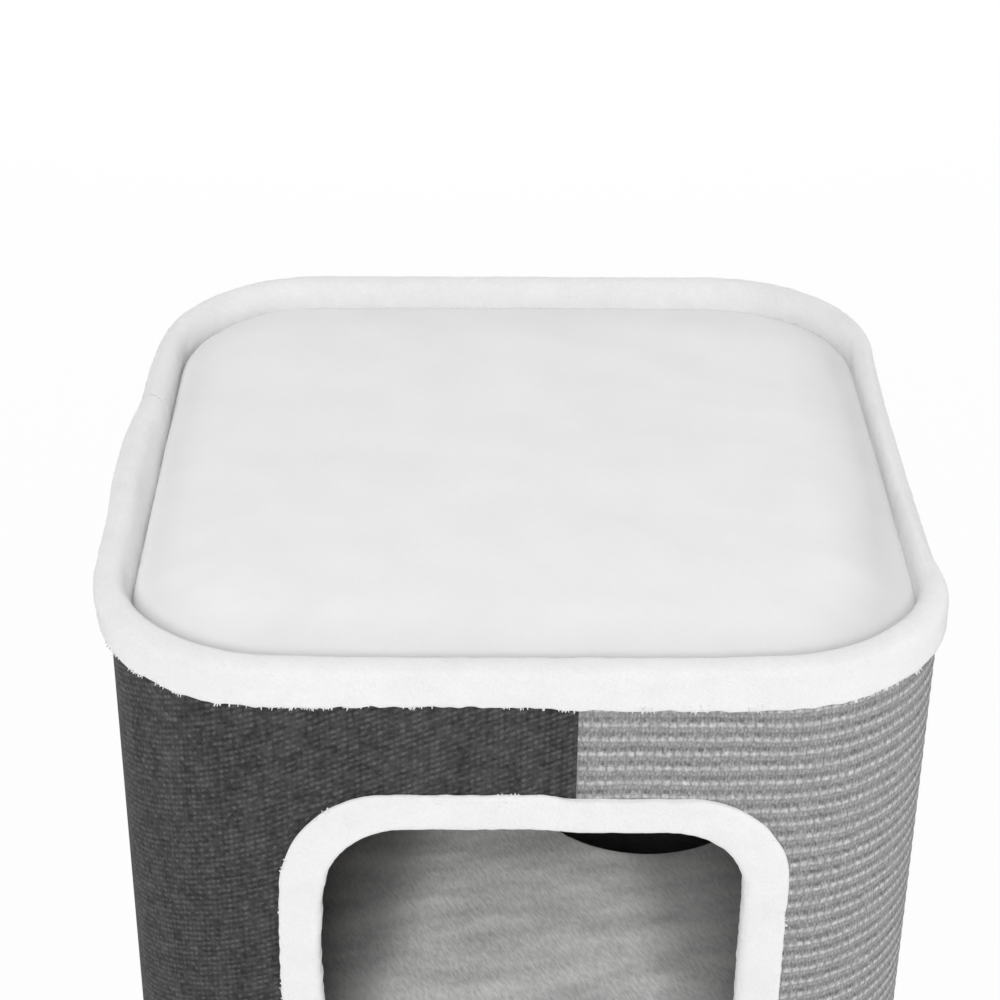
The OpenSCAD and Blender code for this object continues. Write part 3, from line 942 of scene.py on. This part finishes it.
def board_cloth(name, corner, material, slot, body, thickness, hole):
    """Cloth over the top and edges of a board and turned under it, round a hole where there is one."""
    low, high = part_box(name)
    *centre, inner = hole or (0, 0, 0)
    begin = inner + BOARD_ROLL if hole else 0
    shoulder = high.z - BOARD_ROLL
    rows = []
    if hole:
        depths = (high.z + (low.z - high.z) * share for share in (1.0, 0.66, 0.33))
        rows += [(0, inner, min(depth, shoulder), 0) for depth in depths]
        rows += [(0, inner + BOARD_ROLL * (1 - c), shoulder + BOARD_ROLL * s, 0) for s, c in TURNS[:-1]]
    for step in range(BOARD_RINGS + 1):
        share = step / BOARD_RINGS
        rows.append((share, begin - (begin + BOARD_ROLL) * share, high.z, 1))
    rows += [(1, BOARD_ROLL * (s - 1), shoulder + BOARD_ROLL * c, 0) for s, c in TURNS[1:]]
    rows += [(1, 0, shoulder - (shoulder - low.z - BOARD_FOOT) * share, 0) for share in (0.5, 1.0)]
    rows += [(1, BOARD_FOOT * (c - 1), low.z + BOARD_FOOT * (1 - s), 0) for s, c in TURNS[1:]]
    rows += [(1, -BOARD_FOOT - TURN_UNDER * share, low.z, 0) for share in (0.35, 0.7, 1.0)]
    bm = joined(polar_cloth(BOARD_COLUMNS, rows, centre, high.x, corner))
    bmesh.ops.recalc_face_normals(bm, faces=bm.faces)
    if sum(f.normal.z * f.calc_area() for f in bm.faces) < 0:
        bmesh.ops.reverse_faces(bm, faces=bm.faces)
    return make_piece(bm, name + "_cloth", material, slot, body, [name], thickness)


BOTTOM_COLUMNS = 128
BOTTOM_RINGS = 24
BOTTOM_GAP = 0.1 * MM


def bottom_panel():
    low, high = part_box("bottom_panel")
    rows = [(ring / BOTTOM_RINGS, 0, low.z + BOTTOM_GAP, 0) for ring in range(BOTTOM_RINGS + 1)]
    bm = polar_cloth(BOTTOM_COLUMNS, rows, (0, 0), HALF, CORNER_R)
    uv = bm.loops.layers.uv.active
    for face in bm.faces:
        for loop in face.loops:
            loop[uv].uv = loop.vert.co.xy
    joined(bm)
    if sum(f.normal.z for f in bm.faces) > 0:
        bmesh.ops.reverse_faces(bm, faces=bm.faces)
    cloth = make_piece(bm, "bottom_cloth", BLACK_TAPE, "black_tape", "shell", ["bottom_panel"],
                       high.z - low.z - 2 * BOTTOM_GAP)


# Tape round the foot, held by two rows of stitches
HEM_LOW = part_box("hem_tape")[0].z
HEM_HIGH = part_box("hem_tape")[1].z
HEM_T = 1.2 * MM
HEM_OUT = 0.1 * MM + HEM_T
HEM_GRID = 712, 8
HEM_STITCH = 4.2 * MM
STITCH_IN = 3 * MM
STITCH_R = 0.45 * MM
STITCH_LONG = 2.9 * MM


def hem_tape():
    height = HEM_HIGH - HEM_LOW

    def place(u, v):
        walk, z = u * PERIMETER, HEM_LOW + v * height
        point, facing = wall_at(walk % PERIMETER)
        pull = 0.1 * MM * cos(2 * pi * walk / HEM_STITCH) * (abs(v - 0.5) > 0.2)
        return point + facing * (HEM_OUT + pull) + UP * z

    bm = joined(laid_grid(*HEM_GRID, place, (PERIMETER, height)))
    tape = make_piece(bm, "hem_tape_cloth", BLACK_TAPE, "black_tape", "shell", ["hem_tape"], HEM_T)


def hem_stitches():
    stitch = bmesh.new()
    bmesh.ops.create_cone(stitch, cap_ends=True, segments=6, radius1=STITCH_R, radius2=STITCH_R,
                          depth=STITCH_LONG)
    bevel(stitch, [edge for edge in stitch.edges if climb(edge) < 1e-7], 0.25 * MM, 1)
    template = mesh_of(stitch, "stitch")
    bm = bmesh.new()
    count = round(PERIMETER / HEM_STITCH)
    for z in (HEM_LOW + STITCH_IN, HEM_HIGH - STITCH_IN):
        for step in range(count):
            point, facing = wall_at(step * PERIMETER / count)
            along = Vector((-facing.y, facing.x, 0))
            lay = Matrix((facing, along.cross(facing), along)).transposed().to_4x4()
            lay.translation = point + facing * (HEM_OUT + 0.05 * MM) + UP * z
            begin = len(bm.verts)
            bm.from_mesh(template)
            bm.verts.ensure_lookup_table()
            for vert in bm.verts[begin:]:
                vert.co = lay @ vert.co
    bpy.data.meshes.remove(template)
    make_piece(bm, "hem_stitches", BLACK_TAPE, "black_tape", "shell")


# Cushion
PAD_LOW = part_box("cushion_cover")[0].z
PAD_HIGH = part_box("cushion_cover")[1].z
PAD_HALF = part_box("cushion_cover")[1].x
PAD_R = 71.9 * MM
PAD_INSET = 4 * MM
PAD_LIFT = 0.5 * MM
PAD_EDGE = 24 * MM
PAD_ROLL = 8 * MM
PAD_SIDE = 9 * MM
PAD_CAP = 2 * MM
PAD_CROWN = 6 * MM
PAD_BAND = 35 * MM
PAD_VOXEL = 5 * MM
PAD_PRESSURE = 4
PAD_FRAMES = 20
# How far the pad presses into the rim, left and right
PAD_PRESS = 1.1 * MM, 2.0 * MM
# How wide and how dark the painted shade is at the pad's edges, left, right, front and back
EDGE_SHADE_LEFT, EDGE_SHADE_RIGHT = (24 * MM, 0.06), (40 * MM, 0.11)
EDGE_SHADE_FRONT, EDGE_SHADE_BACK = (38 * MM, 0.14), (70 * MM, 0.06)


def cushion():
    """Stuffed cushion, blown up from a plain rounded pad on its board."""
    bm = bmesh.new()
    bmesh.ops.create_cube(bm, size=1)
    wide = 2 * (PAD_HALF - PAD_INSET)
    bmesh.ops.scale(bm, vec=(wide, wide, PAD_EDGE), verts=bm.verts)
    bevel(bm, [e for e in bm.edges if climb(e) > PAD_EDGE / 2], PAD_R - PAD_INSET, 10)
    rims = [e for e in bm.edges if e.is_manifold and climb(e) < TOUCH and e.calc_face_angle(0) > 1.0]
    bevel(bm, rims, PAD_ROLL, 4)
    bmesh.ops.translate(bm, vec=UP * (PAD_LOW + PAD_EDGE / 2 + PAD_LIFT), verts=bm.verts)
    pad = make_piece(bm, "cushion_pad", CUSHION_VELVET, "cushion_velvet", "cushion",
                     ["cushion_cover", "cushion_foam"])
    remesh = pad.modifiers.new("Remesh", "REMESH")
    remesh.mode, remesh.voxel_size, remesh.use_smooth_shade = "VOXEL", PAD_VOXEL, True
    take_shape(pad)
    blow_up(pad)
    crown_pad(pad, PAD_CROWN - PAD_CAP)
    subdivide(pad, 1)


def take_shape(piece):
    """Makes what a piece's modifiers give its own mesh."""
    shaped = bpy.data.meshes.new_from_object(piece.evaluated_get(bpy.context.evaluated_depsgraph_get()))
    piece.modifiers.clear()
    shaped.name = piece.data.name + "_shaped"
    piece.data = shaped
    shaped.shade_smooth()


def blow_up(pad):
    """Cloth under pressure, held on the board and at its sides; no point of the top moves past the cap."""
    before = np.array([v.co for v in pad.data.vertices])
    held = pad.vertex_groups.new(name="held")
    hold_z = PAD_LOW + PAD_EDGE - PAD_ROLL
    held.add([v.index for v in pad.data.vertices if v.co.z < hold_z], 1.0, "REPLACE")
    cloth = pad.modifiers.new("Cloth", "CLOTH")
    cloth.settings.use_pressure = True
    cloth.settings.uniform_pressure_force = PAD_PRESSURE
    cloth.settings.effector_weights.gravity = 0
    cloth.settings.vertex_group_mass = "held"
    for number in range(1, PAD_FRAMES + 1):
        SCENE.frame_set(number)
    take_shape(pad)
    SCENE.frame_set(1)
    pad.vertex_groups.clear()
    moved = np.array([v.co for v in pad.data.vertices]) - before
    length = np.linalg.norm(moved, axis=1, keepdims=True)
    moved *= np.minimum(1, PAD_CAP / np.maximum(length, 1e-9))
    pad.data.vertices.foreach_set("co", (before + moved).ravel())
    ease = pad.modifiers.new("Ease", "SMOOTH")
    ease.factor, ease.iterations = 0.5, 6
    take_shape(pad)


def nearest_wall(x, y):
    """Walk of the wall nearest to a place in plan, the axis its corner turns about, and how far that is."""
    axis = Vector((min(max(x, -RUN), RUN), min(max(y, -RUN), RUN)))
    away = Vector((x, y)) - axis
    side = 0
    turned = Vector((x, y))
    while side < 4 and not (turned.y <= -RUN and turned.x >= -RUN):
        turned = Vector((turned.y, -turned.x))
        side += 1
    walk = min(turned.x, RUN) + side * QUARTER
    if turned.x > RUN:
        walk += CORNER_R * atan2(turned.x - RUN, -RUN - turned.y)
    return walk, axis, away.length


def rim_room(walk, z):
    """Distance from the corner axis to the inner face of the rim, at a height."""
    lean = FRONT_RIM_LEAN
    if walk >= PERIMETER + left_walk(RIM_JOINT):
        walk -= PERIMETER
    elif walk > right_walk(-RIM_JOINT):
        lean = BACK_RIM_LEAN
    leans = [rim_lean(walk, lean, up, 0) for up in (z - RIM_LOW, PAD_SIDE)]
    return CORNER_R - WALL_T / 2 - RIM_HALF_W + min(leans)


def painted_edge_shade(out_x, out_y, own):
    """How much painted shade darkens the velvet at a place out of the corner axis, whose edge is own metres
    from it.
    """
    away = hypot(out_x, out_y)
    if away < TOUCH:
        return 0.0
    sides = EDGE_SHADE_RIGHT if out_x > 0 else EDGE_SHADE_LEFT
    ends = EDGE_SHADE_FRONT if out_y < 0 else EDGE_SHADE_BACK
    share = (out_x / away) ** 2
    width, dark = (side * share + end * (1 - share) for side, end in zip(sides, ends))
    return dark * (1 - steady(own - away, 0, width))


def edge_height(co, away, own):
    """How far the pad rises towards the rim left, right and behind, less what its edge is rounded by."""
    soft = steady(co.x - co.y, -0.3, 0.3)
    drop = (4.5 + soft) * MM * steady(away, own - (18 + 16 * soft) * MM, own) ** 1.5
    left = 3 * MM * steady(-co.x, 0.12, 0.18)
    right = 5 * MM * steady(co.x, 0.1, 0.18) * steady(co.y, -0.14, -0.02)
    return max(left + right, 3.5 * MM * steady(co.y, 0.1, 0.18)) - drop


def crown_pad(pad, crown):
    """Brings the pad to its crown, and presses its edges out into the rim that holds it."""
    places = [nearest_wall(v.co.x, v.co.y) for v in pad.data.vertices]
    own = float(np.percentile([place[2] for place in places], 99))
    painted_edge_shades = []
    for vert, (walk, axis, away) in zip(pad.data.vertices, places):
        co = vert.co
        # Painted shade for this point, darker near the pad's edge
        painted_edge_shades.append(painted_edge_shade(co.x - axis.x, co.y - axis.y, own))
        top = steady((co.z - PAD_LOW) / (PAD_EDGE + PAD_LIFT), 0.4, 1.0)
        middle = (1 - (co.x / PAD_HALF) ** 2) * (1 - (co.y / PAD_HALF) ** 2)
        co.z += top * (crown * max(middle, 0) ** 0.6 + edge_height(co, away, own))
        co.z = min(co.z, PAD_HIGH)
        co.z += 0.25 * MM * top * ripple(co, 60 * MM, 11)
        if away > own - PAD_BAND:
            press = PAD_PRESS[0] + (PAD_PRESS[1] - PAD_PRESS[0]) * steady(co.x, -0.1, 0.1)
            room = rim_room(walk, max(co.z, RIM_LOW)) + press
            free = steady(co.z, PAD_LOW, PAD_LOW + 12 * MM)
            grown = away + (room - own) * steady(away, own - PAD_BAND, own) * free
            co.x = axis.x + (co.x - axis.x) * min(grown, room) / away
            co.y = axis.y + (co.y - axis.y) * min(grown, room) / away
    # Keeps the painted shade as a mesh attribute for the velvet
    pad.data.attributes.new(EDGE_SHADE_ATTRIBUTE, "FLOAT", "POINT").data.foreach_set("value", painted_edge_shades)


# Dressing the frame
wall_cloth("dark_cover", BACK_SEAM - PERIMETER, FRONT_SEAM - SEAM_GAP / 2, DARK_GRID, dark_lie,
           DARK_TWILL, "dark_twill", DARK_T, COVER_SHARE)
wall_cloth("woven_cover", FRONT_SEAM + SEAM_GAP / 2, BACK_SEAM - SEAM_GAP, WOVEN_GRID, woven_lie,
           WOVEN_FABRIC, "woven_fabric", WOVEN_T, COVER_SHARE)
for name, start, share in (("front_lining", -PERIMETER / 4, FRONT_LINING_SHARE),
                           ("back_lining", PERIMETER / 4, 1.0)):
    wall_cloth(name, start + LINING_GAP / 2, start + PERIMETER / 2 - LINING_GAP / 2, LINING_GRID, lining_lie,
               GREY_LINING, "grey_lining", LINING_T, share, inside=True)
left_joint, right_joint = left_walk(RIM_JOINT), right_walk(-RIM_JOINT)
front_rim = rim_binding("front_rim_binding", left_joint, right_joint, FRONT_RIM_LEAN, 1)
back_rim = rim_binding("back_rim_binding", right_joint, PERIMETER + left_joint, BACK_RIM_LEAN, 3)
upper_binding = entry_binding("upper_entry")
lower_binding = entry_binding("lower_entry")
for base, seed in ((front_rim, 21), (back_rim, 22)):
    fuzz(base, RIM_TUFTS, seed, rim_edge, hangs)
for base, seed in ((upper_binding, 23), (lower_binding, 24)):
    fuzz(base, ENTRY_TUFTS, seed, entry_edge, leaves_entry)

# Covers: corner radius, material, slot, body, thickness and hole, then the board, flat size and flat area
BOARD_CLOTHS = {
    "floor_cover": ((72.9 * MM, GREY_PILE, "grey_pile", "upper_floor", 3 * MM, PASSAGE),
                    "floor_board", 0.47, 0.19),
    "base_cover": ((72.9 * MM, GREY_PILE, "grey_pile", "base", 3 * MM, None), "base_board", 0.47, 0.2),
    "deck_cover": ((67.9 * MM, GREY_LINING, "grey_lining", "deck", 1.6 * MM, None),
                   "deck_board", 0.46, 0.19),
}
for name, (making, board, flat, area) in BOARD_CLOTHS.items():
    board_cloth(name, *making)
bottom_panel()
hem_tape()
hem_stitches()
cushion()

NODE_FINISH = {"front_core": WALL_PANEL, "back_core": WALL_PANEL, "base_board": FIBREBOARD,
               "floor_board": FIBREBOARD, "deck_board": FIBREBOARD}
for name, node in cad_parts.items():
    finish = NODE_FINISH.get(name)
    if "ledge" in name:
        finish = SCREW_STEEL if name.endswith("screws") else BATTEN
    if finish:
        for place in node.material_slots:
            place.material = finish

# Camera, floor and light
CAMERA_AT = Vector((-27.5 * MM, -1098.0 * MM, RIM_TOP + 610.9 * MM))
CAMERA_LENS = 87.14
CAMERA_SENSOR = 36
CAMERA_DOWN = radians(30.54)
CAMERA_YAW = radians(0.88)
CAMERA_ROLL = radians(0.55)
WHITE = (1, 1, 1, 1)
FLOOR_HALF = 8
FLOOR_GREY = (0.55, 0.55, 0.55, 1)
FLOOR_GLOW = 0.97
# Even white sky, and soft lamps: name, place, aim, width and height in metres, power in watts
SKY = 0.14
LAMPS = [
    ("key", (-0.25, -2.62, 2.3), (0, 0, 0.45), (1.0, 1.2), 64),
    ("rear", (0, 2.4, 2.2), (0, 0, 0.4), (2.0, 1.4), 27),
    ("left", (-2.2, -1.0, 1.2), (0, 0, 0.4), (1.6, 1.6), 9.5),
    ("right", (2.2, -1.0, 1.2), (0, 0, 0.4), (1.6, 1.6), 17.5),
    ("back", (0, 2.4, 0.36), (0, 0, 0.3), (3.0, 0.6), 30),
]


def place_camera():
    data = bpy.data.cameras.new("camera")
    data.lens, data.sensor_width = CAMERA_LENS, CAMERA_SENSOR
    camera = put("camera", data)
    turn = Matrix.Rotation(-CAMERA_YAW, 4, "Z") @ Matrix.Rotation(pi / 2 - CAMERA_DOWN, 4, "X")
    camera.matrix_world = Matrix.Translation(CAMERA_AT) @ turn @ Matrix.Rotation(CAMERA_ROLL, 4, "Z")
    SCENE.camera = camera


def seen(tree):
    """1 on rays that show the stage itself, 0 on those that light the object."""
    path = add(tree, "LightPath")
    mirrored = path["Is Glossy Ray"].op("MAXIMUM", path["Is Transmission Ray"])
    return path["Is Camera Ray"].op("MAXIMUM", mirrored)


def make_floor():
    """Pale floor that looks white and lights the object as a grey one does."""
    bm = bmesh.new()
    bmesh.ops.create_grid(bm, x_segments=1, y_segments=1, size=FLOOR_HALF)
    floor = put("floor", mesh_of(bm, "floor"))
    material, tree, shader = new_material("floor", cloth=False)
    shader.inputs["Base Color"].default_value = FLOOR_GREY
    glow = add(tree, "Emission", {"Color": WHITE, "Strength": 1.0})
    plain = Wire(tree, shader.outputs[0])
    mix = add(tree, "MixShader", {0: seen(tree) * FLOOR_GLOW, 1: plain, 2: glow})
    mix.to(tree.nodes["Material Output"].inputs["Surface"])
    floor.data.materials.append(material)


def make_light():
    world = bpy.data.worlds.new("studio")
    SCENE.world = world
    world.use_nodes = True
    tree = world.node_tree
    sky = tree.nodes["Background"]
    sky.inputs["Color"].default_value = WHITE
    (seen(tree) * (1 - SKY) + SKY).to(sky.inputs["Strength"])
    for name, spot, aim, size, power in LAMPS:
        data = bpy.data.lights.new(name, "AREA")
        data.shape, data.size, data.size_y, data.energy = "ELLIPSE", *size, power
        lamp = put(name, data)
        lamp.location = spot
        lamp.rotation_euler = (Vector(aim) - Vector(spot)).to_track_quat("-Z", "Y").to_euler()


place_camera()
make_floor()
make_light()
SCENE.view_settings.view_transform = "Standard"
